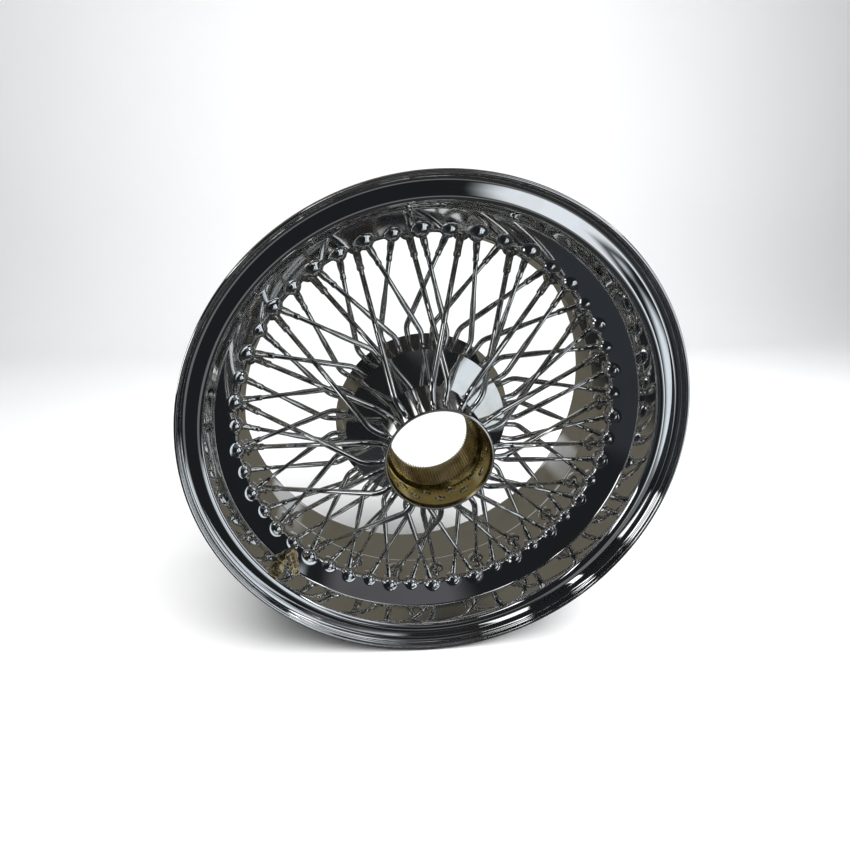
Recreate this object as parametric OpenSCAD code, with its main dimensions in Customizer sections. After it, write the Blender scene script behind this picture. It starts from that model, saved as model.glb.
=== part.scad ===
// Centre-lock wire wheel with 72 spokes in three rows.
// The wheel turns about Y. Its outer face looks towards -Y, +Z is up, and the
// origin is on the axle line, midway between the two rim edges.
// Modules are drawn about a local axle line z (z = wheel +Y) and turned last.

/* [Rim] */
// Radius over the rim flanges
flange_r = 207; // [205:0.5:209]
// Radius of the bead seat at its heel
bead_r = 190; // [189:0.5:191]
// Distance between the inside faces of the two flanges
bead_width = 152.4; // [150:0.1:155]
// Thickness of the rolled rim sheet
sheet = 2.8; // [2.4:0.1:3.2]
// Radius of the well floor at mid sheet
well_r = 169.4; // [169:0.1:170]
// Place of the well's front corner along the axle line
well_front = -36; // [-36.4:0.1:-35.6]
// Place of the well's rear corner along the axle line
well_rear = 0; // [-0.5:0.5:4]

/* [Lacing] */
// Spokes in each of the three rim rows
row_spokes = 24; // [24]
// Angle of the first front-row dimple, clockwise from +X seen from the front
lacing_phase = -93.9; // [-97:0.1:-90]
// Lead of the middle row over the front row
middle_lead = 7.5; // [7:0.1:8]
// Lead of the rear row over the front row
rear_lead = 12.3; // [12:0.1:12.6]
// Wire radius of the two flange rows
wire_r = 1.9; // [1.7:0.05:2]
// Wire radius of the nose spokes
nose_wire_r = 2.2; // [2:0.05:2.3]
// Radius of the thickened hub end of every spoke
butt_r = 2.5; // [2.4:0.05:2.6]

/* [Hub] */
// Bore radius of the nose
bore_r = 41.1; // [41:0.05:41.3]
// Bore radius of the register at the rear end
register_r = 42; // [41.8:0.05:42.2]
// Outside radius of the nose and barrel
nose_r = 44.2; // [44:0.1:44.6]
// Front face of the nose along the axle line
nose_front = -98; // [-100:0.5:-96]
// Rear face of the barrel along the axle line
barrel_rear = -24; // [-26:0.5:-20]
// Number of spline teeth
teeth = 90; // [84:1:94]
// Radius at the tips of the spline teeth
tooth_tip_r = 35.3; // [35:0.1:35.6]
// Radius at the roots of the spline teeth
tooth_root_r = 37.6; // [37.2:0.1:37.8]

/* [Valve] */
// Angle of the valve, clockwise from +X seen from the front
valve_angle = 137; // [136.8:0.1:137.2]
// Distance of the valve hole from the axle line
valve_r = 177.8; // [177.6:0.1:178]
// Lean of the valve towards the hub
valve_lean = 17; // [15:1:18]
// Length of the valve stem outside the rim
valve_length = 40; // [39:0.5:42]

/* [Hidden] */
$fn = 64;

chrome = [0.78, 0.79, 0.8];
dark_chrome = [0.55, 0.56, 0.58];
old_gold = [0.5, 0.47, 0.33];
brass = [0.66, 0.54, 0.3];
rubber = [0.08, 0.08, 0.08];

row_pitch = 360 / row_spokes;
slack = 0.05;

// ---- small vector helpers ----
function unit(v) = v / norm(v);
function polar(r, a, z) = [r * cos(a), r * sin(a), z];
function across(v) = unit(cross(v, abs(v[2]) < 0.9 ? [0, 0, 1] : [1, 0, 0]));

// Places its children with the given origin and axes.
module at_axes(o, x, y, z) {
    multmatrix([
        [x[0], y[0], z[0], o[0]],
        [x[1], y[1], z[1], o[1]],
        [x[2], y[2], z[2], o[2]],
        [0, 0, 0, 1]
    ]) children();
}

// Places its children at o with their z axis along z.
module aimed(o, z) {
    x = across(z);
    at_axes(o, x, cross(z, x), z) children();
}

// Turns the local axle line z to the wheel's +Y.
module on_axle() rotate([-90, 0, 0]) children();

// ---- rim section, in [z, r] ----
half_width = bead_width / 2;
mid = sheet / 2;
face = half_width + mid;
curl_r = 6;
heel_r = 3.6;
lip_reach = 11.8;
lip_drop = 2.4;
curl_top = flange_r + 0.5;
seat_end = -52;
seat_end_r = bead_r - 3;
rear_seat_start = well_rear + 14;
rear_seat_r = bead_r - 3.6;

// Corners of the sheet's middle line, each with its bend radius.
rim_corners = [
    [-face - lip_reach, flange_r - lip_drop, 0],
    [-face, curl_top, curl_r],
    [-face, bead_r - 1.3, heel_r],
    [seat_end, seat_end_r, 5],
    [well_front, well_r, 6],
    [well_rear, well_r, 9],
    [rear_seat_start, rear_seat_r, 9],
    [face, bead_r - 1.3, heel_r],
    [face, curl_top, curl_r],
    [face + lip_reach, flange_r - lip_drop, 0]
];

function corner_arc(a, b, c, r, n = 6) =
    let (u = unit(a - b), w = unit(c - b))
    let (half = acos(u * w) / 2, t = r / tan(half))
    let (m = b + unit(u + w) * r / sin(half), p = b + u * t - m, q = b + w * t - m)
    let (sweep = 180 - 2 * half, way = sign(p[0] * q[1] - p[1] * q[0]))
    [for (i = [0 : n])
        let (s = way * sweep * i / n)
        m + [p[0] * cos(s) - p[1] * sin(s), p[0] * sin(s) + p[1] * cos(s)]];

function flat(p) = [p[0], p[1]];
function bent_line(c) = [
    for (i = [0 : len(c) - 1])
        each c[i][2] == 0 ? [flat(c[i])]
            : corner_arc(flat(c[i - 1]), flat(c[i]), flat(c[i + 1]), c[i][2])
];
function normal_at(p, i) =
    let (d = unit(p[min(i + 1, len(p) - 1)] - p[max(i - 1, 0)]))
    [d[1], -d[0]];
function shifted(p, d) = [for (i = [0 : len(p) - 1]) p[i] + normal_at(p, i) * d];
function swapped(p) = [for (q = p) [q[1], q[0]]];
function reversed(p) = [for (i = [len(p) - 1 : -1 : 0]) p[i]];

rim_line = bent_line(rim_corners);
rim_section = concat(shifted(rim_line, mid), reversed(shifted(rim_line, -mid)));

// ---- lacing ----
// A dimple is a ball pressed towards the hub: [lead angle, centre r, centre z, ball r].
front_dimple = [0, 172, -35.3, 8];
middle_dimple = [middle_lead, 171, -34.5, 7];
rear_dimple = [rear_lead, 171, -16, 8];

head_gap = 0.1;
function head_radius(d) = d[3] - sheet - head_gap;

// A spoke row: [hub hole r, hub hole z, lean of the hole in pitches, exit tilt,
// distance to the bend's corner, bend radius].
front_hole = [76.4, -20, 1, 0, 11, 14];
middle_hole = [80.8, -10, -1, 0, 12, 14];
nose_front_hole = [nose_r, -85, -1, 0, 14, 22];
nose_rear_hole = [nose_r, -76, 1, 0, 14, 22];

function dimple_angle(d, k) = lacing_phase + d[0] + row_pitch * k;
function dimple_centre(d, k) = polar(d[1], dimple_angle(d, k), d[2]);
function hole_angle(d, h, k) = dimple_angle(d, k) + h[2] * row_pitch;
function hole_point(d, h, k) = polar(h[0], hole_angle(d, h, k), h[1]);
function exit_way(d, h, k) = unit(polar(1, hole_angle(d, h, k), h[3]));
function bend_corner(d, h, k) = hole_point(d, h, k) + exit_way(d, h, k) * h[4];
function spoke_way(d, h, k) = unit(dimple_centre(d, k) - bend_corner(d, h, k));

all_rows = [for (k = [0 : row_spokes - 1]) k];
odd_rows = [for (k = [1 : 2 : row_spokes - 1]) k];
even_rows = [for (k = [0 : 2 : row_spokes - 2]) k];

shank_in = 2.5;
head_r = 4;
head_h = 1.7;
butt_length = 26;
butt_taper = 14;
thread_end = 3;

// The bend is a hair thicker than the straight lengths, which run a little into it.
bend_r = butt_r + 0.03;
run_in = 0.4;

// Head and straight shank, from inside the hub wall to the start of the bend.
module spoke_head(shank) {
    rotate_extrude()
        polygon([
            [0, -shank_in], [head_r, -shank_in], [head_r, -shank_in + 0.5],
            [butt_r, -shank_in + head_h], [butt_r, shank + run_in], [0, shank + run_in]
        ]);
}

// Straight wire from the bend to the threaded end, thinning after the butt.
module spoke_wire(length, thin_r) {
    rotate_extrude()
        polygon([
            [0, -run_in], [butt_r, -run_in], [butt_r, butt_length],
            [thin_r, butt_length + butt_taper], [thin_r, length], [0, length]
        ]);
}

module spoke(d, h, k, thin_r) {
    hole = hole_point(d, h, k);
    e = exit_way(d, h, k);
    way = spoke_way(d, h, k);
    side = unit(way - e * (e * way));
    turn = acos(e * way);
    reach = h[5] * tan(turn / 2);
    bend_start = hole + e * (h[4] - reach);
    bend_end = bend_corner(d, h, k) + way * reach;
    aimed(hole, e) spoke_head(h[4] - reach);
    at_axes(bend_start + side * h[5], -side, e, cross(-side, e))
        rotate_extrude(angle = turn)
            translate([h[5], 0])
                circle(r = bend_r);
    aimed(bend_end, way)
        spoke_wire(norm(dimple_centre(d, k) - bend_end) - thread_end, thin_r);
}

module spoke_row(d, h, which, thin_r) {
    on_axle()
        for (k = which)
            spoke(d, h, k, thin_r);
}

module front_row_spokes() color(chrome) spoke_row(front_dimple, front_hole, all_rows, wire_r);
module middle_row_spokes() color(chrome) spoke_row(middle_dimple, middle_hole, all_rows, wire_r);
module nose_front_spokes() color(chrome) spoke_row(rear_dimple, nose_front_hole, even_rows, nose_wire_r);
module nose_rear_spokes() color(chrome) spoke_row(rear_dimple, nose_rear_hole, odd_rows, nose_wire_r);

// ---- nipples ----
// A nipple is turned about its own axis: origin at the head's centre, z to the hub.
module nipple(ball_r, round_r, neck_r, barrel_r, thin_r) {
    far = ball_r + 15;
    step = ball_r + 6;
    cut = 1.8;
    a0 = asin(cut / round_r);
    a1 = acos(neck_r / round_r);
    rotate_extrude()
        polygon(concat(
            [[thin_r + slack, -cut]],
            [for (i = [0 : 8])
                let (a = -a0 + (a0 + a1) * i / 8)
                [round_r * cos(a), round_r * sin(a)]],
            [
                [neck_r, step], [barrel_r, step + 1], [barrel_r, far - 0.8],
                [barrel_r - 0.5, far], [thin_r + slack, far]
            ]
        ));
}

module nipple_row(d, h, which, neck_r, barrel_r, thin_r) {
    on_axle()
        for (k = which)
            aimed(dimple_centre(d, k), -spoke_way(d, h, k))
                nipple(d[3], head_radius(d), neck_r, barrel_r, thin_r);
}

small_neck = 3;
small_barrel = 2.55;
large_neck = 3.3;
large_barrel = 3.2;

module front_row_nipples() color(dark_chrome)
    nipple_row(front_dimple, front_hole, all_rows, small_neck, small_barrel, wire_r);
module middle_row_nipples() color(dark_chrome)
    nipple_row(middle_dimple, middle_hole, all_rows, small_neck, small_barrel, wire_r);
module rear_row_nipples_a() color(dark_chrome)
    nipple_row(rear_dimple, nose_front_hole, even_rows, large_neck, large_barrel, nose_wire_r);
module rear_row_nipples_b() color(dark_chrome)
    nipple_row(rear_dimple, nose_rear_hole, odd_rows, large_neck, large_barrel, nose_wire_r);

// ---- rim ----
module dimple_ball(d, k) {
    aimed(dimple_centre(d, k), polar(-1, dimple_angle(d, k), 0)) sphere(r = d[3]);
}

// Room for a nipple's head on the tyre side and for its neck through the sheet.
module nipple_room(d, h, k, neck_r) {
    aimed(dimple_centre(d, k), -spoke_way(d, h, k)) {
        sphere(r = head_radius(d) + head_gap);
        cylinder(r = neck_r + head_gap, h = d[3] + 3);
    }
}

// Everything on the hub side of the sheet's middle line, around the well.
module hub_side_of_well() {
    inside = well_r - 20;
    line = [for (p = rim_line) if (p[0] > seat_end + 1 && p[0] < well_rear - 1) p];
    first = line[0];
    last = line[len(line) - 1];
    rotate_extrude()
        polygon(swapped(concat([[first[0], inside]], line, [[last[0], inside]])));
}

module rim_body() {
    rotate_extrude() polygon(swapped(rim_section));
    intersection() {
        union() {
            for (k = all_rows) {
                dimple_ball(front_dimple, k);
                dimple_ball(middle_dimple, k);
                dimple_ball(rear_dimple, k);
            }
        }
        hub_side_of_well();
    }
}

module rim() color(dark_chrome) on_axle() difference() {
    rim_body();
    for (k = all_rows) {
        nipple_room(front_dimple, front_hole, k, small_neck);
        nipple_room(middle_dimple, middle_hole, k, small_neck);
    }
    for (k = even_rows) nipple_room(rear_dimple, nose_front_hole, k, large_neck);
    for (k = odd_rows) nipple_room(rear_dimple, nose_rear_hole, k, large_neck);
    on_valve() translate([0, 0, -8]) cylinder(r = valve_neck_r + head_gap, h = 16);
}

band_r = 175.4;
band_t = 1.6;

// Place along the axle line of the front wall's tyre side at radius r.
wall_run = (seat_end - well_front) / (seat_end_r - well_r);
function tyre_wall(r) = well_front + (r - well_r) * wall_run + mid * sqrt(1 + wall_run * wall_run);

// Soft band that lies over the nipple heads and seals the well.
module rim_seal_band() color(rubber) on_axle() difference() {
    floor_r = well_r + mid + slack;
    rotate_extrude()
        polygon([
            [band_r, tyre_wall(band_r) + 0.1], [band_r + band_t, tyre_wall(band_r + band_t) + 0.1],
            [band_r + band_t, well_rear - 7.5], [floor_r + band_t, well_rear - 5.2],
            [floor_r, well_rear - 5.2], [floor_r, well_rear - 8.8], [band_r, well_rear - 10.6]
        ]);
    on_valve() translate([0, 0, -14]) cylinder(r = 7.5, h = 20);
}

// ---- hub ----
sleeve_front = -72;
spline_front = -67;
spline_rear = -36;
sleeve_rear = -34;
sleeve_r = bore_r - 0.25;
flange_inner_r = 73.6;
flange_inner_z = -26.3;
flange_outer_r = 83.4;
flange_outer_z = -3.9;
web_front = -37;
web_t = 4;

module spoke_hole(d, h, k) {
    aimed(hole_point(d, h, k), exit_way(d, h, k)) {
        translate([0, 0, -shank_in - 1]) cylinder(r = butt_r + slack, h = shank_in + 7);
        translate([0, 0, -shank_in - 5]) cylinder(r = head_r + slack, h = 5.5);
        translate([0, 0, -shank_in + 0.5])
            cylinder(r1 = head_r + slack, r2 = butt_r + slack, h = head_h - 0.5);
    }
}

module hub_barrel() color(chrome) on_axle() difference() {
    rotate_extrude()
        polygon([
            [bore_r + 1.2, nose_front], [nose_r - 0.9, nose_front],
            [nose_r - 0.3, nose_front + 0.3], [nose_r, nose_front + 1],
            [nose_r, barrel_rear - 0.4], [nose_r - 0.4, barrel_rear],
            [register_r + 0.4, barrel_rear], [register_r, barrel_rear - 0.4],
            [register_r, sleeve_rear], [sleeve_r, sleeve_rear],
            [sleeve_r, sleeve_front], [bore_r, sleeve_front],
            [bore_r, nose_front + 3.5]
        ]);
    for (k = even_rows) spoke_hole(rear_dimple, nose_front_hole, k);
    for (k = odd_rows) spoke_hole(rear_dimple, nose_rear_hole, k);
}

module hub_flange() color(chrome) on_axle() difference() {
    rotate_extrude()
        polygon([
            [nose_r + slack, web_front], [flange_inner_r, flange_inner_z],
            [flange_outer_r, flange_outer_z], [flange_outer_r - 1, flange_outer_z + 2],
            [flange_outer_r - 4, flange_outer_z + 2], [flange_outer_r - 5, flange_outer_z],
            [flange_inner_r - 3.4, flange_inner_z + web_t],
            [nose_r + 6, web_front + web_t + 2.2], [nose_r + 3, web_front + 9],
            [nose_r + 3, web_front + 12], [nose_r + slack, web_front + 12]
        ]);
    for (k = all_rows) {
        spoke_hole(front_dimple, front_hole, k);
        spoke_hole(middle_dimple, middle_hole, k);
    }
}

// Outline of the splined hole: each tooth is a trapezium with a narrow tip.
function spline_outline() = [
    for (i = [0 : teeth - 1])
        let (a = i * 360 / teeth, w = 360 / teeth)
        each [
            polar(tooth_root_r, a - 0.3 * w, 0), polar(tooth_root_r, a + 0.1 * w, 0),
            polar(tooth_tip_r, a + 0.3 * w, 0), polar(tooth_tip_r, a + 0.5 * w, 0)
        ]
];

module spline_sleeve() color(old_gold) on_axle() difference() {
    translate([0, 0, sleeve_front])
        cylinder(r = sleeve_r - slack, h = sleeve_rear - sleeve_front);
    translate([0, 0, sleeve_front - 1])
        linear_extrude(height = sleeve_rear - sleeve_front + 2)
            polygon([for (p = spline_outline()) flat(p)]);
    translate([0, 0, sleeve_front - slack])
        cylinder(r1 = sleeve_r - 0.3, r2 = tooth_root_r + 0.1, h = spline_front - sleeve_front + slack);
    translate([0, 0, spline_rear])
        cylinder(r1 = tooth_root_r + 0.2, r2 = sleeve_r - 0.6, h = sleeve_rear - spline_rear + slack);
}

// ---- valve ----
valve_z = well_front + (valve_r - well_r) * wall_run;
valve_neck_r = 4.5;
stem_r = 3.85;
seat_z = 5;

// Valve frame: origin in the middle of the rim sheet, z out towards the cap end.
module on_valve() {
    aimed(
        polar(valve_r, valve_angle, valve_z),
        polar(-sin(valve_lean), valve_angle, -cos(valve_lean))
    ) children();
}

// The slanted front wall of the well, with a hair of room on both sides.
module wall_slab() {
    half = (mid + slack) * sqrt(1 + wall_run * wall_run);
    low = -14;
    high = 14;
    rotate_extrude()
        polygon([
            [valve_r + low, valve_z + low * wall_run - half],
            [valve_r + high, valve_z + high * wall_run - half],
            [valve_r + high, valve_z + high * wall_run + half],
            [valve_r + low, valve_z + low * wall_run + half]
        ]);
}

core_bore_r = 1.85;
core_top = valve_length - 2;
core_foot = valve_length - 15;

module valve_stem() color(brass) on_axle() on_valve() rotate_extrude()
    polygon([
        [core_bore_r, -8.5], [5.6, -8.5], [6, -8], [6, -7], [5.6, -6.5], [stem_r, -6.5],
        [stem_r, valve_length - 9.5], [stem_r - 0.5, valve_length - 9],
        [stem_r - 0.5, valve_length - 8.2], [stem_r, valve_length - 7.7],
        [stem_r, valve_length - 0.5],
        [stem_r - 0.5, valve_length], [2.6, valve_length], [2.6, valve_length - 1.5],
        [core_bore_r, valve_length - 2]
    ]);

// Soft bush in the valve hole, with a wedge-shaped collar on each side of the wall.
module valve_grommet() color(rubber) on_axle() difference() {
    on_valve() translate([0, 0, -6.4]) cylinder(r = 6.2, h = seat_z + 6.4);
    difference() {
        wall_slab();
        on_valve() translate([0, 0, -12]) cylinder(r = valve_neck_r, h = 24);
    }
    on_valve() translate([0, 0, -8]) cylinder(r = stem_r + slack, h = 16);
}

module valve_washer() color(brass) on_axle() on_valve() translate([0, 0, seat_z + slack])
    difference() {
        cylinder(r = 6.2, h = 1);
        translate([0, 0, -1]) cylinder(r = stem_r + slack, h = 3);
    }

// Hexagon that clamps the bush, with a long grooved collar above it.
module valve_nut() color(brass) on_axle() on_valve() translate([0, 0, seat_z + 1 + 2 * slack])
    difference() {
        union() {
            intersection() {
                cylinder(r = 5.9, h = 6, $fn = 6);
                translate([0, 0, -1]) cylinder(r1 = 12.4, r2 = 5.4, h = 7);
            }
            translate([0, 0, 5.5]) cylinder(r = 4.3, h = 3);
            translate([0, 0, 8]) cylinder(r = 4.9, h = 7);
            translate([0, 0, 14.5]) cylinder(r = 4.5, h = 2);
            translate([0, 0, 16]) cylinder(r = 4.9, h = 5);
            translate([0, 0, 21]) cylinder(r1 = 4.9, r2 = 4.3, h = 0.8);
        }
        translate([0, 0, -1]) cylinder(r = stem_r + slack, h = 24);
    }

pin_r = 0.5;
pin_hole_r = 0.62;
cup_r = 1.2;
collar_r = 1.15;

// Body of the screwed-in valve core: a ledge for the spring at its foot, a guide for
// the pin at its top.
module valve_core() color(brass) on_axle() on_valve() rotate_extrude()
    polygon([
        [pin_hole_r, core_foot + 7.2], [1.45, core_foot + 7.2], [1.45, core_foot + 1],
        [0.75, core_foot + 1], [0.75, core_foot],
        [core_bore_r - slack, core_foot], [core_bore_r - slack, core_foot + 3],
        [1.65, core_foot + 3.2], [1.65, core_foot + 5], [core_bore_r - slack, core_foot + 5.2],
        [core_bore_r - slack, core_top - 1], [1.4, core_top], [pin_hole_r, core_top]
    ]);

module valve_core_seal() color(rubber) on_axle() on_valve() rotate_extrude()
    polygon([
        [1.68, core_foot + 3.4], [core_bore_r - 0.02, core_foot + 3.4],
        [core_bore_r - 0.02, core_foot + 4.8], [1.68, core_foot + 4.8]
    ]);

// Pin with the cup that closes the core's foot and the collar that the spring lifts.
module valve_pin() color(brass) on_axle() on_valve() rotate_extrude()
    polygon([
        [0, core_foot - 2.6], [cup_r, core_foot - 2.6], [1.6, core_foot - 0.1],
        [pin_r, core_foot - 0.1], [pin_r, core_foot + 5.8], [collar_r, core_foot + 5.8],
        [collar_r, core_foot + 6.2], [pin_r, core_foot + 6.2],
        [pin_r, core_top + 1.2], [0, core_top + 1.2]
    ]);

// Coil spring on the core's ledge, drawn at the length it has with the pin pressed.
spring_turns = 5;
spring_mid_r = 1.0;
spring_wire_r = 0.16;
spring_low = core_foot + 1.2;
spring_high = core_foot + 4;
spring_steps = 12 * spring_turns;
spring_sides = 6;

function spring_point(i) =
    polar(spring_mid_r, i * 30, spring_low + (spring_high - spring_low) * i / spring_steps);
function spring_ring(i) = [
    for (j = [0 : spring_sides - 1])
        let (b = j * 360 / spring_sides, r = spring_mid_r + spring_wire_r * cos(b))
        polar(r, i * 30, spring_point(i)[2] + spring_wire_r * sin(b))
];
spring_rings = [for (i = [0 : spring_steps]) each spring_ring(i)];
spring_sides_faces = [
    for (i = [0 : spring_steps - 1], j = [0 : spring_sides - 1])
        let (a = i * spring_sides + j, b = i * spring_sides + (j + 1) % spring_sides)
        [a, b, b + spring_sides, a + spring_sides]
];
spring_caps = [
    [for (j = [spring_sides - 1 : -1 : 0]) j],
    [for (j = [0 : spring_sides - 1]) spring_steps * spring_sides + j]
];

module valve_spring() color(chrome) on_axle() on_valve()
    polyhedron(spring_rings, concat(spring_sides_faces, spring_caps));

// ---- output ----
rim();
rim_seal_band();
hub_barrel();
hub_flange();
spline_sleeve();
front_row_spokes();
middle_row_spokes();
nose_front_spokes();
nose_rear_spokes();
front_row_nipples();
middle_row_nipples();
rear_row_nipples_a();
rear_row_nipples_b();
valve_stem();
valve_grommet();
valve_washer();
valve_nut();
valve_core();
valve_core_seal();
valve_pin();
valve_spring();
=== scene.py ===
"""Wire wheel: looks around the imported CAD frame.

Lengths inside the builders are in millimetres and are turned into metres when a mesh is
made. A point is given as radius, angle (clockwise from +X seen from the front) and y.
"""

import math

import bpy
import numpy as np
from mathutils import Matrix, Vector


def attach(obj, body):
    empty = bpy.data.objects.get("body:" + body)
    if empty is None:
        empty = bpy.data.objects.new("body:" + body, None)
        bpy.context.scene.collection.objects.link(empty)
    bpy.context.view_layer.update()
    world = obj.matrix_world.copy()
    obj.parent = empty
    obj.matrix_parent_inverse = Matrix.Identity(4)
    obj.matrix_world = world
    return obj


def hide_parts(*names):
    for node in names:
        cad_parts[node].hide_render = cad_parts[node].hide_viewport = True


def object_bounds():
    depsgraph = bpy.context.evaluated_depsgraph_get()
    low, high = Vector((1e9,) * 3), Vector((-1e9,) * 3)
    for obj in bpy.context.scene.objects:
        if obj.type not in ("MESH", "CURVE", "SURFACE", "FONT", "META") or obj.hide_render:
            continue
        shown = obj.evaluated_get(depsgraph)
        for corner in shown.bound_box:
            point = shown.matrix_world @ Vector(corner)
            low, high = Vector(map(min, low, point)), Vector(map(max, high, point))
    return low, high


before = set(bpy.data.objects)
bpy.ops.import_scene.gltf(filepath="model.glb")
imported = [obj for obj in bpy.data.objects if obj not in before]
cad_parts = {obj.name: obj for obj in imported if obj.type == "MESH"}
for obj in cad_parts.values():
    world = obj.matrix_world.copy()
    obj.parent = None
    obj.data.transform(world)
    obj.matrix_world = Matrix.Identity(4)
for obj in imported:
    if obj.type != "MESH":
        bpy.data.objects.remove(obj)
cad_low, cad_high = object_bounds()

MM = 0.001

# ---------------------------------------------------------------- wheel geometry
ROW_SPOKES = 24
PITCH = 360 / ROW_SPOKES
LACING_PHASE = -93.9
SHEET = 2.8

# lead angle, centre radius, centre y, ball radius
FRONT_DIMPLE = (0.0, 172.0, -35.3, 8.0)
MIDDLE_DIMPLE = (7.5, 171.0, -34.5, 7.0)
REAR_DIMPLE = (12.3, 171.0, -16.0, 8.0)

# hole radius, hole y, lean in pitches, distance to the bend's corner, bend radius
FRONT_HOLE = (76.4, -20.0, 1, 11.0, 14.0)
MIDDLE_HOLE = (80.8, -10.0, -1, 12.0, 14.0)
NOSE_FRONT_HOLE = (44.2, -85.0, -1, 14.0, 22.0)
NOSE_REAR_HOLE = (44.2, -76.0, 1, 14.0, 22.0)

ALL_ROWS = list(range(ROW_SPOKES))
EVEN_ROWS = list(range(0, ROW_SPOKES, 2))
ODD_ROWS = list(range(1, ROW_SPOKES, 2))


def unit(v):
    v = np.asarray(v, float)
    return v / np.linalg.norm(v)


def place(r, angle, y):
    """Point at a radius, an angle in degrees and a y, in mm."""
    a = np.radians(angle)
    return np.stack(np.broadcast_arrays(r * np.cos(a), y, -r * np.sin(a)), axis=-1)


def dimple_centre(dimple, k):
    return place(dimple[1], LACING_PHASE + dimple[0] + PITCH * k, dimple[2])


def spoke_line(dimple, hole, k):
    """Hole point, exit direction, corner, direction to the rim, dimple centre."""
    angle = LACING_PHASE + dimple[0] + PITCH * (k + hole[2])
    start = place(hole[0], angle, hole[1])
    out = unit(place(1.0, angle, 0.0))
    corner = start + out * hole[3]
    centre = dimple_centre(dimple, k)
    return start, out, corner, unit(centre - corner), centre


# ---------------------------------------------------------------- mesh helpers
def make_piece(name, verts, faces, material, node):
    """A smooth mesh piece that rides on the wheel and stands for a CAD node."""
    mesh = bpy.data.meshes.new(name)
    mesh.from_pydata([tuple(v) for v in np.asarray(verts) * MM], [], faces)
    mesh.validate()
    mesh.update()
    mesh.polygons.foreach_set("use_smooth", [True] * len(mesh.polygons))
    obj = bpy.data.objects.new(name, mesh)
    bpy.context.scene.collection.objects.link(obj)
    mesh.materials.append(material)
    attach(obj, "wheel")
    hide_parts(node)


def grid_faces(rows, cols, close_rows=False):
    """Quads over a grid of vertices whose columns run round in a ring."""
    row_count = rows if close_rows else rows - 1
    i = np.arange(row_count)[:, None]
    j = np.arange(cols)[None, :]
    i2, j2 = (i + 1) % rows, (j + 1) % cols
    quads = np.stack(
        np.broadcast_arrays(i * cols + j, i * cols + j2, i2 * cols + j2, i2 * cols + j),
        axis=-1,
    ).reshape(-1, 4)
    return quads.tolist()


class Builder:
    """Collects vertices and faces of several closed shells."""

    def __init__(self):
        self.verts = []
        self.faces = []
        self.count = 0

    def add(self, verts, faces):
        verts = np.asarray(verts, float).reshape(-1, 3)
        self.faces += [[i + self.count for i in f] for f in faces]
        self.verts.append(verts)
        self.count += len(verts)

    def tube(self, rings):
        """Rings is (count, sides, 3); the ends are closed with a flat face."""
        count, sides, _ = rings.shape
        faces = grid_faces(count, sides)
        faces.append(list(range(sides))[::-1])
        faces.append([(count - 1) * sides + j for j in range(sides)])
        self.add(rings, faces)

    def all_verts(self):
        return np.concatenate(self.verts)


# ---------------------------------------------------------------- rim
BEAD_HALF = 76.2
FACE = BEAD_HALF + SHEET / 2
BEAD_R = 190.0
FLANGE_R = 206.85
CURL_TOP = FLANGE_R + 0.5
LIP_REACH = 10.65  # 1.15 less than in CAD, because this edge is round
LIP_DROP = 2.15
WELL_R = 169.4
# y, radius and bend radius of each corner of the sheet's middle line
RIM_CORNERS = (
    (-FACE - LIP_REACH, FLANGE_R - LIP_DROP, 0),
    (-FACE, CURL_TOP, 6.0),
    (-FACE, BEAD_R - 1.3, 3.6),
    (-52, BEAD_R - 3, 5),
    (-36, WELL_R, 6),
    (0, WELL_R, 9),
    (14, BEAD_R - 3.6, 9),
    (FACE, BEAD_R - 1.3, 3.6),
    (FACE, CURL_TOP, 6.0),
    (FACE + LIP_REACH, FLANGE_R - LIP_DROP, 0),
)


def rounded_line(corners, step_deg):
    """Corner list to a smooth polyline with arcs at the corners."""
    line = []
    for i, (x, r, bend) in enumerate(corners):
        b = np.array((x, r), float)
        if bend == 0:
            line.append(b)
            continue
        a, c = np.array(corners[i - 1][:2]), np.array(corners[i + 1][:2])
        u, w = unit(a - b), unit(c - b)
        half = math.acos(float(u @ w)) / 2
        t = bend / math.tan(half)
        centre = b + unit(u + w) * bend / math.sin(half)
        p, q = b + u * t - centre, b + w * t - centre
        sweep = math.pi - 2 * half
        way = math.copysign(1, p[0] * q[1] - p[1] * q[0])
        count = max(4, int(math.degrees(sweep) / step_deg))
        for s in np.linspace(0, way * sweep, count + 1):
            turned = (p[0] * math.cos(s) - p[1] * math.sin(s), p[0] * math.sin(s) + p[1] * math.cos(s))
            line.append(centre + turned)
    return np.array(line)


def resample(line, spacing):
    """Points along a polyline no further apart than spacing(midpoint) gives."""
    out = [line[0]]
    for a, b in zip(line[:-1], line[1:]):
        gap = np.linalg.norm(b - a)
        count = max(1, int(math.ceil(gap / spacing((a + b) / 2) - 1e-6)))
        out += [a + (b - a) * i / count for i in range(1, count + 1)]
    return np.array(out)


def line_normals(line):
    d = np.empty_like(line)
    d[1:-1] = line[2:] - line[:-2]
    d[0], d[-1] = line[1] - line[0], line[-1] - line[-2]
    d /= np.linalg.norm(d, axis=1)[:, None]
    return np.stack((d[:, 1], -d[:, 0]), axis=1)


def push_out(points, centre, radius, blend):
    """Moves points that lie inside a ball out to its surface, with a small fillet."""
    off = points - centre
    dist = np.linalg.norm(off, axis=-1, keepdims=True)
    diff = np.clip((radius - dist) / blend, -1, 1)
    soft = np.maximum(radius, dist) + blend * (1 - np.abs(diff)) ** 2 / 4
    return centre + off / np.maximum(dist, 1e-9) * soft


RIM_STEPS = 1200
DIMPLED_Y = (-52, -3)
DIMPLED_GAP = 0.8
PLAIN_GAP = 6.0
DIMPLE_FILLET = 2.6
DIMPLE_REACH_Y = 14
DIMPLE_REACH_STEPS = 16


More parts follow.
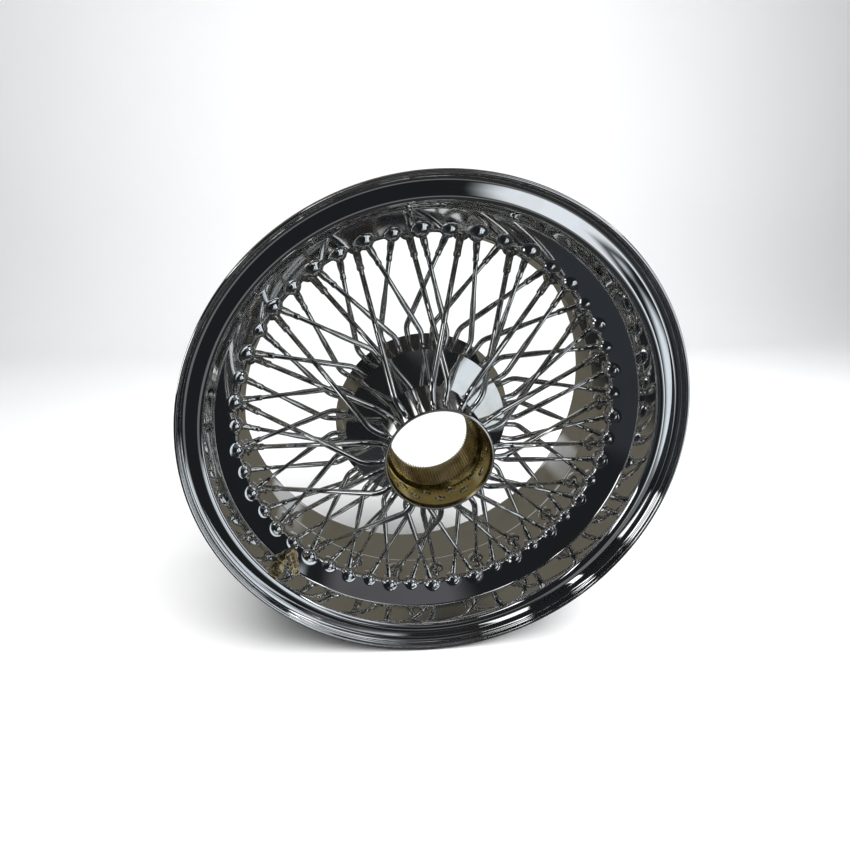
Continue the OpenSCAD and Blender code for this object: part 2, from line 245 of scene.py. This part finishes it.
def build_rim(material):
    """One sheet: the hub side is pushed out over each dimple, the tyre side follows it."""
    base = rounded_line(RIM_CORNERS, 8)

    def spacing(p):
        return DIMPLED_GAP if DIMPLED_Y[0] < p[0] < DIMPLED_Y[1] else PLAIN_GAP

    line = resample(base, spacing)
    normal = line_normals(line)
    hub_side = line + normal * SHEET / 2
    steps = RIM_STEPS
    angle = np.arange(steps) * 360 / steps
    pts = place(hub_side[:, 1][:, None], angle[None, :], hub_side[:, 0][:, None])
    for dimple in (FRONT_DIMPLE, MIDDLE_DIMPLE, REAR_DIMPLE):
        for k in ALL_ROWS:
            centre = dimple_centre(dimple, k)
            a = (LACING_PHASE + dimple[0] + PITCH * k) % 360
            mid = int(round(a / 360 * steps))
            cols = np.arange(mid - DIMPLE_REACH_STEPS, mid + DIMPLE_REACH_STEPS + 1) % steps
            rows = np.where(np.abs(hub_side[:, 0] - dimple[2]) < DIMPLE_REACH_Y)[0]
            part = pts[np.ix_(rows, cols)]
            pts[np.ix_(rows, cols)] = push_out(part, centre, dimple[3], DIMPLE_FILLET)
    # the tyre side follows the hub side one sheet thickness away
    along = np.gradient(pts, axis=0)
    around = np.roll(pts, -1, axis=1) - np.roll(pts, 1, axis=1)
    n = np.cross(around, along)
    n /= np.linalg.norm(n, axis=-1, keepdims=True)
    outward = place(1.0, angle[None, :], 0.0)
    mid_row = int(np.argmin(np.abs(line[:, 0] + 10)))
    if (n[mid_row] * outward[0]).sum(-1).mean() < 0:
        n = -n
    tyre = pts + n * SHEET
    # rounded rolled edges
    edge = []
    for row, neighbour in ((-1, -2), (0, 1)):
        a, b = pts[row], tyre[row]
        c = (a + b) / 2
        d = pts[row] - pts[neighbour]
        d = d / np.linalg.norm(d, axis=-1, keepdims=True)
        turns = np.radians((30, 60, 90, 120, 150))
        edge.append([c + (a - c) * math.cos(t) + d * SHEET / 2 * math.sin(t) for t in turns])
    verts = np.array(list(pts) + edge[0] + list(tyre[::-1]) + edge[1][::-1])
    count = len(verts)
    faces = grid_faces(count, steps, close_rows=True)
    make_piece("rim_sheet", verts.reshape(-1, 3), faces, material, "rim")


# ---------------------------------------------------------------- spokes and nipples
BUTT_R = 2.5
SHANK_IN = 2.5
HEAD_R = 3.95
BUTT_LENGTH = 26.0
BUTT_TAPER = 14.0
THREAD_END = 3.0
WIRE_R = 1.9
THICK_WIRE_R = 2.2
NECK_R, BARREL_R = 3.0, 2.55
THICK_NECK_R, THICK_BARREL_R = 3.3, 3.2
NIPPLE_REACH = 15.0
HEAD_CUT = 1.8
FLAT_SHARE = 0.86


def circle_ring(centre, u, v, radius, sides):
    t = np.arange(sides) * 2 * math.pi / sides
    return centre + radius * (np.cos(t)[:, None] * u + np.sin(t)[:, None] * v)


def spoke_rings(dimple, hole, k, thin_r, sides=16):
    """Conical head, thick bend, taper and thin length up to the nipple."""
    start, out, corner, way, centre = spoke_line(dimple, hole, k)
    bend = hole[4]
    turn = math.acos(float(out @ way))
    side = unit(way - out * (out @ way))
    reach = bend * math.tan(turn / 2)
    n = unit(np.cross(out, way))
    rings = []

    def ring(point, tangent, radius):
        rings.append(circle_ring(point, n, unit(np.cross(tangent, n)), radius, sides))

    for z, r in ((0, HEAD_R - 0.5), (0.35, HEAD_R), (0.6, HEAD_R), (1.9, BUTT_R)):
        ring(start + out * (z - SHANK_IN), out, r)
    bend_start = start + out * (hole[3] - reach)
    pivot = bend_start + side * bend
    for t in np.linspace(0, turn, 13):
        p = pivot + (-side * math.cos(t) + out * math.sin(t)) * bend
        tangent = out * math.cos(t) + side * math.sin(t)
        ring(p, tangent, BUTT_R)
    bend_end = corner + way * reach
    length = np.linalg.norm(centre - bend_end) - THREAD_END
    ring(bend_end + way * BUTT_LENGTH, way, BUTT_R)
    for s in (0.25, 0.5, 0.75, 1.0):
        smooth = s * s * (3 - 2 * s)
        ring(bend_end + way * (BUTT_LENGTH + BUTT_TAPER * s), way, BUTT_R + (thin_r - BUTT_R) * smooth)
    ring(bend_end + way * length, way, thin_r)
    return np.array(rings)


def build_spokes(name, node, dimple, hole, which, thin_r, material):
    b = Builder()
    for k in which:
        b.tube(spoke_rings(dimple, hole, k, thin_r))
    make_piece(name, b.all_verts(), b.faces, material, node)


def nipple_rings(dimple, hole, k, neck_r, barrel_r, sides=24):
    """A turned nipple with four flats on the middle of its barrel."""
    way = spoke_line(dimple, hole, k)[3]
    centre = dimple_centre(dimple, k)
    axis = -way
    ball = dimple[3]
    head = ball - SHEET - 0.1
    far = ball + NIPPLE_REACH
    u = unit(np.cross(axis, unit(place(1.0, LACING_PHASE + dimple[0] + PITCH * k + 90, 0.0))))
    v = np.cross(axis, u)
    t = np.arange(sides) * 2 * math.pi / sides
    # distance from the dimple's centre, radius, 1 where the flats are
    profile = [(-HEAD_CUT, head * 0.8, 0)]
    a0, a1 = math.asin(HEAD_CUT / head), math.acos(neck_r / head)
    for i in range(9):
        a = -a0 + (a0 + a1) * i / 8
        profile.append((head * math.sin(a), head * math.cos(a), 0))
    profile += [
        (ball + 3.2, neck_r, 0),
        (ball + 5.6, neck_r * 0.94, 0),
        (ball + 6.4, barrel_r, 0),
        (ball + 7.2, barrel_r, 0),
        (ball + 7.6, barrel_r, 1),
        (far - 3.2, barrel_r, 1),
        (far - 2.8, barrel_r, 0),
        (far - 0.7, barrel_r, 0),
        (far - 0.2, barrel_r - 0.25, 0),
        (far, barrel_r - 0.6, 0),
    ]
    rings = []
    for z, r, flats in profile:
        radius = np.full(sides, r)
        if flats:
            fold = np.abs((np.degrees(t) + 45) % 90 - 45)
            radius = np.minimum(radius, r * FLAT_SHARE / np.cos(np.radians(fold)))
        across = np.cos(t)[:, None] * u + np.sin(t)[:, None] * v
        rings.append(centre + axis * z + radius[:, None] * across)
    return np.array(rings)


def build_nipples(name, node, dimple, hole, which, neck_r, barrel_r, material):
    b = Builder()
    for k in which:
        b.tube(nipple_rings(dimple, hole, k, neck_r, barrel_r))
    make_piece(name, b.all_verts(), b.faces, material, node)


# ---------------------------------------------------------------- materials
class Nodes:
    """Short way to wire a procedural material."""

    def __init__(self, name):
        self.material = bpy.data.materials.new(name)
        self.material.use_nodes = True
        self.tree = self.material.node_tree
        self.shader = next(n for n in self.tree.nodes if n.type == "BSDF_PRINCIPLED")
        coords = self.tree.nodes.new("ShaderNodeTexCoord")
        self.object_coords = coords.outputs["Object"]

    def new(self, kind, **values):
        node = self.tree.nodes.new(kind)
        for key, value in values.items():
            setattr(node, key, value)
        return node

    def link(self, a, b):
        self.tree.links.new(a, b)

    def noise(self, scale, detail=4.0):
        node = self.new("ShaderNodeTexNoise")
        node.inputs["Scale"].default_value = scale
        node.inputs["Detail"].default_value = detail
        node.inputs["Roughness"].default_value = 0.55
        self.link(self.object_coords, node.inputs["Vector"])
        return node.outputs["Fac"]

    def remap(self, source, low, high, out_low, out_high):
        node = self.new("ShaderNodeMapRange")
        node.inputs["From Min"].default_value = low
        node.inputs["From Max"].default_value = high
        node.inputs["To Min"].default_value = out_low
        node.inputs["To Max"].default_value = out_high
        self.link(source, node.inputs["Value"])
        return node.outputs["Result"]

    def mix(self, factor, a, b):
        node = self.new("ShaderNodeMix", data_type="RGBA")
        self.link(factor, node.inputs["Factor"])
        for value, socket in ((a, node.inputs["A"]), (b, node.inputs["B"])):
            if isinstance(value, tuple):
                socket.default_value = (*value, 1)
            else:
                self.link(value, socket)
        return node.outputs["Result"]

    def bump(self, height, distance):
        node = self.new("ShaderNodeBump")
        node.inputs["Distance"].default_value = distance
        node.inputs["Strength"].default_value = 1.0
        self.link(height, node.inputs["Height"])
        self.link(node.outputs["Normal"], self.shader.inputs["Normal"])


def metal(name, colour, tint, rough_low, rough_high, grain, bump_mm, stain=0.5):
    """Plated or machined metal: colour stains, uneven gloss and a faint surface ripple."""
    m = Nodes(name)
    m.shader.inputs["Metallic"].default_value = 1.0
    cloud = m.noise(grain, 6.0)
    stain_mask = m.remap(cloud, stain, stain + 0.22, 0.0, 1.0)
    m.link(m.mix(stain_mask, colour, tint), m.shader.inputs["Base Color"])
    smear = m.noise(grain * 2.7, 3.0)
    m.link(m.remap(smear, 0.35, 0.75, rough_low, rough_high), m.shader.inputs["Roughness"])
    m.bump(m.noise(grain * 3.0, 2.0), bump_mm * MM)
    return m.material


def rubber(name, colour, tint):
    m = Nodes(name)
    grain = m.noise(900.0, 4.0)
    m.link(m.mix(m.noise(60.0), colour, tint), m.shader.inputs["Base Color"])
    m.link(m.remap(grain, 0.3, 0.7, 0.6, 0.85), m.shader.inputs["Roughness"])
    m.bump(grain, 0.05 * MM)
    return m.material


BORE_EDGE = (0.0414, 0.0420)


def hub_metal():
    """Chrome outside, thin gold-toned plating on the inside of the bore."""
    m = Nodes("hub_chrome_plate")
    m.shader.inputs["Metallic"].default_value = 1.0
    cloud = m.remap(m.noise(25.0, 6.0), 0.5, 0.72, 0.0, 1.0)
    chrome = m.mix(cloud, (0.82, 0.81, 0.79), (0.7, 0.67, 0.62))
    blotch = m.remap(m.noise(60.0, 6.0), 0.4, 0.65, 0.0, 1.0)
    gold = m.mix(blotch, (0.9, 0.74, 0.32), (0.68, 0.56, 0.25))
    flat = m.new("ShaderNodeVectorMath", operation="MULTIPLY")
    flat.inputs[1].default_value = (1, 0, 1)
    m.link(m.object_coords, flat.inputs[0])
    radius = m.new("ShaderNodeVectorMath", operation="LENGTH")
    m.link(flat.outputs["Vector"], radius.inputs[0])
    outside = m.remap(radius.outputs["Value"], *BORE_EDGE, 0.0, 1.0)
    m.link(m.mix(outside, gold, chrome), m.shader.inputs["Base Color"])
    smear = m.noise(68.0, 3.0)
    gloss = m.new("ShaderNodeMath", operation="MULTIPLY_ADD")
    m.link(m.remap(outside, 0.0, 1.0, 0.16, 0.0), gloss.inputs[0])
    m.link(m.remap(smear, 0.3, 0.7, 0.6, 1.2), gloss.inputs[1])
    m.link(m.remap(smear, 0.35, 0.75, 0.03, 0.09), gloss.inputs[2])
    m.link(gloss.outputs["Value"], m.shader.inputs["Roughness"])
    m.bump(m.noise(75.0, 2.0), 0.001 * MM)
    return m.material


CHROME = metal("rim_chrome_plate", (0.82, 0.82, 0.82), (0.72, 0.71, 0.68), 0.03, 0.05, 18.0, 0.001)
SPOKE = metal("spoke_chrome_plate", (0.88, 0.88, 0.87), (0.78, 0.76, 0.72), 0.03, 0.06, 45.0, 0.001)
NIPPLE = metal("nipple_plate", (0.8, 0.79, 0.76), (0.45, 0.42, 0.37), 0.08, 0.2, 120.0, 0.004, 0.5)
HUB = hub_metal()
SPLINE = metal("spline_plate", (0.8, 0.7, 0.42), (0.5, 0.43, 0.25), 0.14, 0.3, 90.0, 0.02, 0.42)
BRASS = metal("valve_brass_metal", (0.8, 0.68, 0.42), (0.6, 0.48, 0.27), 0.24, 0.34, 180.0, 0.002, 0.5)
STEEL = metal("spring_wire", (0.5, 0.5, 0.5), (0.36, 0.33, 0.3), 0.2, 0.35, 300.0, 0.01)
VALVE_RUBBER = rubber("valve_bush_rubber", (0.03, 0.03, 0.03), (0.05, 0.048, 0.045))
BAND_RUBBER = rubber("rim_band_rubber", (0.04, 0.04, 0.04), (0.07, 0.066, 0.06))

NODE_MATERIALS = {
    "rim_seal_band": BAND_RUBBER,
    "hub_barrel": HUB,
    "hub_flange": HUB,
    "spline_sleeve": SPLINE,
    "valve_stem": BRASS,
    "valve_grommet": VALVE_RUBBER,
    "valve_washer": BRASS,
    "valve_nut": BRASS,
    "valve_core": BRASS,
    "valve_core_seal": VALVE_RUBBER,
    "valve_pin": BRASS,
    "valve_spring": STEEL,
}
for node_name, node_material in NODE_MATERIALS.items():
    node_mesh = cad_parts[node_name].data
    node_mesh.materials.clear()
    node_mesh.materials.append(node_material)

# ---------------------------------------------------------------- pieces
# the node's row, dimple, hole, which spokes, wire radius, nipple neck and barrel radius
ROWS = (
    ("front_row", FRONT_DIMPLE, FRONT_HOLE, ALL_ROWS, WIRE_R, NECK_R, BARREL_R),
    ("middle_row", MIDDLE_DIMPLE, MIDDLE_HOLE, ALL_ROWS, WIRE_R, NECK_R, BARREL_R),
    ("nose_front", REAR_DIMPLE, NOSE_FRONT_HOLE, EVEN_ROWS, THICK_WIRE_R, THICK_NECK_R, THICK_BARREL_R),
    ("nose_rear", REAR_DIMPLE, NOSE_REAR_HOLE, ODD_ROWS, THICK_WIRE_R, THICK_NECK_R, THICK_BARREL_R),
)
NIPPLE_NAMES = {
    "front_row": ("front_row_nuts", "front_row_nipples"),
    "middle_row": ("middle_row_nuts", "middle_row_nipples"),
    "nose_front": ("rear_row_nuts_a", "rear_row_nipples_a"),
    "nose_rear": ("rear_row_nuts_b", "rear_row_nipples_b"),
}
build_rim(CHROME)
for row, dimple, hole, which, wire_r, _, _ in ROWS:
    build_spokes(row + "_wires", row + "_spokes", dimple, hole, which, wire_r, SPOKE)
for row, dimple, hole, which, _, neck_r, barrel_r in ROWS:
    build_nipples(*NIPPLE_NAMES[row], dimple, hole, which, neck_r, barrel_r, NIPPLE)


# ---------------------------------------------------------------- stage, light, camera
def pale_surface(name, colour):
    """Pale paper that polished metal doesn't mirror, so that the metal shows the dark room."""
    m = Nodes(name)
    cloud = m.noise(3.0, 3.0)
    m.link(m.mix(cloud, colour, tuple(c * 0.97 for c in colour)), m.shader.inputs["Base Color"])
    m.shader.inputs["Roughness"].default_value = 0.9
    m.shader.inputs["Specular IOR Level"].default_value = 0.2
    clear = m.new("ShaderNodeBsdfTransparent")
    ray = m.new("ShaderNodeLightPath")
    blend = m.new("ShaderNodeMixShader")
    output = next(n for n in m.tree.nodes if n.type == "OUTPUT_MATERIAL")
    m.link(ray.outputs["Is Glossy Ray"], blend.inputs["Fac"])
    m.link(m.shader.outputs["BSDF"], blend.inputs[1])
    m.link(clear.outputs["BSDF"], blend.inputs[2])
    m.link(blend.outputs["Shader"], output.inputs["Surface"])
    return m.material


def sweep_backdrop():
    """Floor that curves up into a back wall."""
    floor_z = cad_low.z - 0.0003
    profile = [(-1.1, floor_z), (1.2, floor_z)]
    bend = 0.5
    for t in np.radians(np.arange(0, 91, 9)):
        profile.append((1.2 + bend * math.sin(t), floor_z + bend * (1 - math.cos(t))))
    profile.append((1.7, floor_z + 2.6))
    verts = []
    for y, z in profile:
        verts += [(-2.6, y, z), (2.6, y, z)]
    faces = [(2 * i, 2 * i + 1, 2 * i + 3, 2 * i + 2) for i in range(len(profile) - 1)]
    mesh = bpy.data.meshes.new("floor_sweep")
    mesh.from_pydata(verts, [], faces)
    mesh.polygons.foreach_set("use_smooth", [True] * len(mesh.polygons))
    obj = bpy.data.objects.new("floor_sweep", mesh)
    bpy.context.scene.collection.objects.link(obj)
    mesh.materials.append(pale_surface("pale_paper", (0.9, 0.9, 0.9)))


def area_light(name, location, target, size, power):
    data = bpy.data.lights.new(name, "AREA")
    data.shape = "RECTANGLE"
    data.size, data.size_y = size
    data.energy = power
    obj = bpy.data.objects.new(name, data)
    obj.location = location
    obj.rotation_euler = (Vector(target) - Vector(location)).to_track_quat("-Z", "Y").to_euler()
    obj.visible_glossy = False
    bpy.context.scene.collection.objects.link(obj)


# each panel: colour, then the soft limits of x, y and z of the direction it fills
ROOM_PANELS = (
    ((0.025, 0.025, 0.024), (-2, -2, 2, 2), (-2, -2, 2, 2), (0.72, 0.9, 2, 2)),
    ((0.03, 0.03, 0.03), (-2, -2, 2, 2), (-2, -2, 2, 2), (-2, -2, -0.74, -0.64)),
    ((0.13, 0.12, 0.095), (-2, -2, 2, 2), (0.3, 0.6, 2, 2), (-0.5, -0.35, 0.7, 0.85)),
    ((0.15, 0.155, 0.16), (-0.02, 0.08, 0.5, 0.6), (-2, -2, -0.6, -0.5), (-0.62, -0.56, -0.36, -0.28)),
    ((0.88, 0.94, 1.0), (0.22, 0.3, 0.42, 0.47), (-2, -2, -0.6, -0.5), (-0.43, -0.36, 0.1, 0.2)),
    ((0.8, 0.88, 0.95), (0.46, 0.5, 0.81, 0.85), (-2, -2, -0.62, -0.58), (-0.1, -0.04, 0.3, 0.36)),
    ((0.8, 0.88, 0.95), (0.5, 0.55, 0.81, 0.85), (-2, -2, -0.5, -0.45), (-0.42, -0.36, -0.06, -0.02)),
    ((0.84, 0.9, 0.97), (0.4, 0.5, 2, 2), (-0.25, -0.18, 0.12, 0.24), (-0.5, -0.42, 0.3, 0.4)),
    ((0.03, 0.034, 0.04), (-2, -2, -0.2, -0.08), (-0.7, -0.62, -0.22, -0.14), (-2, -2, -0.3, -0.15)),
    ((0.1, 0.1, 0.11), (-0.2, 0.0, 0.66, 0.76), (-2, -2, -0.5, -0.4), (0.4, 0.5, 0.75, 0.85)),
    ((0.75, 0.79, 0.84), (0.2, 0.35, 2, 2), (-0.5, -0.42, -0.05, 0.05), (0.56, 0.62, 0.84, 0.9)),
    ((2.6, 2.65, 2.7), (-2, -2, 2, 2), (-0.5, -0.48, 0.0, 0.1), (0.5, 0.51, 0.56, 0.57)),
    ((1.8, 1.82, 1.85), (-2, -2, -0.6, -0.58), (-0.5, -0.48, 0.1, 0.2), (-0.1, -0.08, 0.2, 0.22)),
    ((1.8, 1.82, 1.85), (-0.5, -0.48, -0.2, -0.18), (-0.5, -0.48, -0.05, 0.05), (0.74, 0.76, 0.86, 0.88)),
    ((0.5, 0.51, 0.52), (-2, -2, 2, 2), (0.8, 0.9, 2, 2), (-0.12, -0.08, 0.04, 0.10)),
)


def studio_world():
    """A dark room with a large soft window on the right, a dim ceiling and a grey floor."""
    world = bpy.data.worlds.new("studio")
    bpy.context.scene.world = world
    world.use_nodes = True
    tree = world.node_tree

    def soft_step(value, low, high, rising):
        node = tree.nodes.new("ShaderNodeMapRange")
        node.interpolation_type = "SMOOTHSTEP"
        node.inputs["From Min"].default_value = low
        node.inputs["From Max"].default_value = high
        node.inputs["To Min"].default_value = 0.0 if rising else 1.0
        node.inputs["To Max"].default_value = 1.0 if rising else 0.0
        tree.links.new(value, node.inputs["Value"])
        return node.outputs["Result"]

    def product(a, b):
        node = tree.nodes.new("ShaderNodeMath")
        node.operation = "MULTIPLY"
        tree.links.new(a, node.inputs[0])
        tree.links.new(b, node.inputs[1])
        return node.outputs["Value"]

    def blend(factor, a, b):
        node = tree.nodes.new("ShaderNodeMix")
        node.data_type = "RGBA"
        tree.links.new(factor, node.inputs["Factor"])
        for value, socket in ((a, node.inputs[6]), (b, node.inputs[7])):
            if isinstance(value, tuple):
                socket.default_value = (*value, 1)
            else:
                tree.links.new(value, socket)
        return node.outputs[2]

    coords = tree.nodes.new("ShaderNodeTexCoord")
    split = tree.nodes.new("ShaderNodeSeparateXYZ")
    tree.links.new(coords.outputs["Generated"], split.inputs["Vector"])
    colour = (0.013, 0.015, 0.017)
    for panel, *limits in ROOM_PANELS:
        mask = None
        for axis, (a, b, c, d) in zip("XYZ", limits):
            for low, high, rising in ((a, b, True), (c, d, False)):
                if abs(low) < 2:
                    step = soft_step(split.outputs[axis], low, high, rising)
                    mask = step if mask is None else product(mask, step)
        colour = blend(mask, colour, panel)
    ray = tree.nodes.new("ShaderNodeLightPath")
    colour = blend(ray.outputs["Is Camera Ray"], colour, (0.95, 0.95, 0.95))
    tree.links.new(colour, tree.nodes["Background"].inputs["Color"])


sweep_backdrop()
studio_world()
area_light("top_softbox", (0.2, -0.5, 1.6), (0, 0.1, 0), (1.8, 1.6), 60)
area_light("right_softbox", (1.5, -0.6, 0.5), (0, 0, 0), (0.9, 1.2), 14)

camera_data = bpy.data.cameras.new("camera")
camera_data.sensor_width = 36.0
camera_data.lens = 20.405
camera_data.shift_x = 0.0553
camera_data.shift_y = 0.0024
camera_data.clip_start = 0.01
camera = bpy.data.objects.new("camera", camera_data)
CAMERA_RIGHT = Vector((0.99778, -0.06663, 0.0))
CAMERA_UP = Vector((0.02505, 0.37517, 0.92662))
CAMERA_BACK = CAMERA_RIGHT.cross(CAMERA_UP)
turn = Matrix((CAMERA_RIGHT, CAMERA_UP, CAMERA_BACK)).transposed()
camera.matrix_world = Matrix.Translation((-0.0716, -0.4362, 0.1685)) @ turn.to_4x4()
bpy.context.scene.collection.objects.link(camera)
bpy.context.scene.camera = camera
bpy.context.scene.view_settings.view_transform = "Standard"
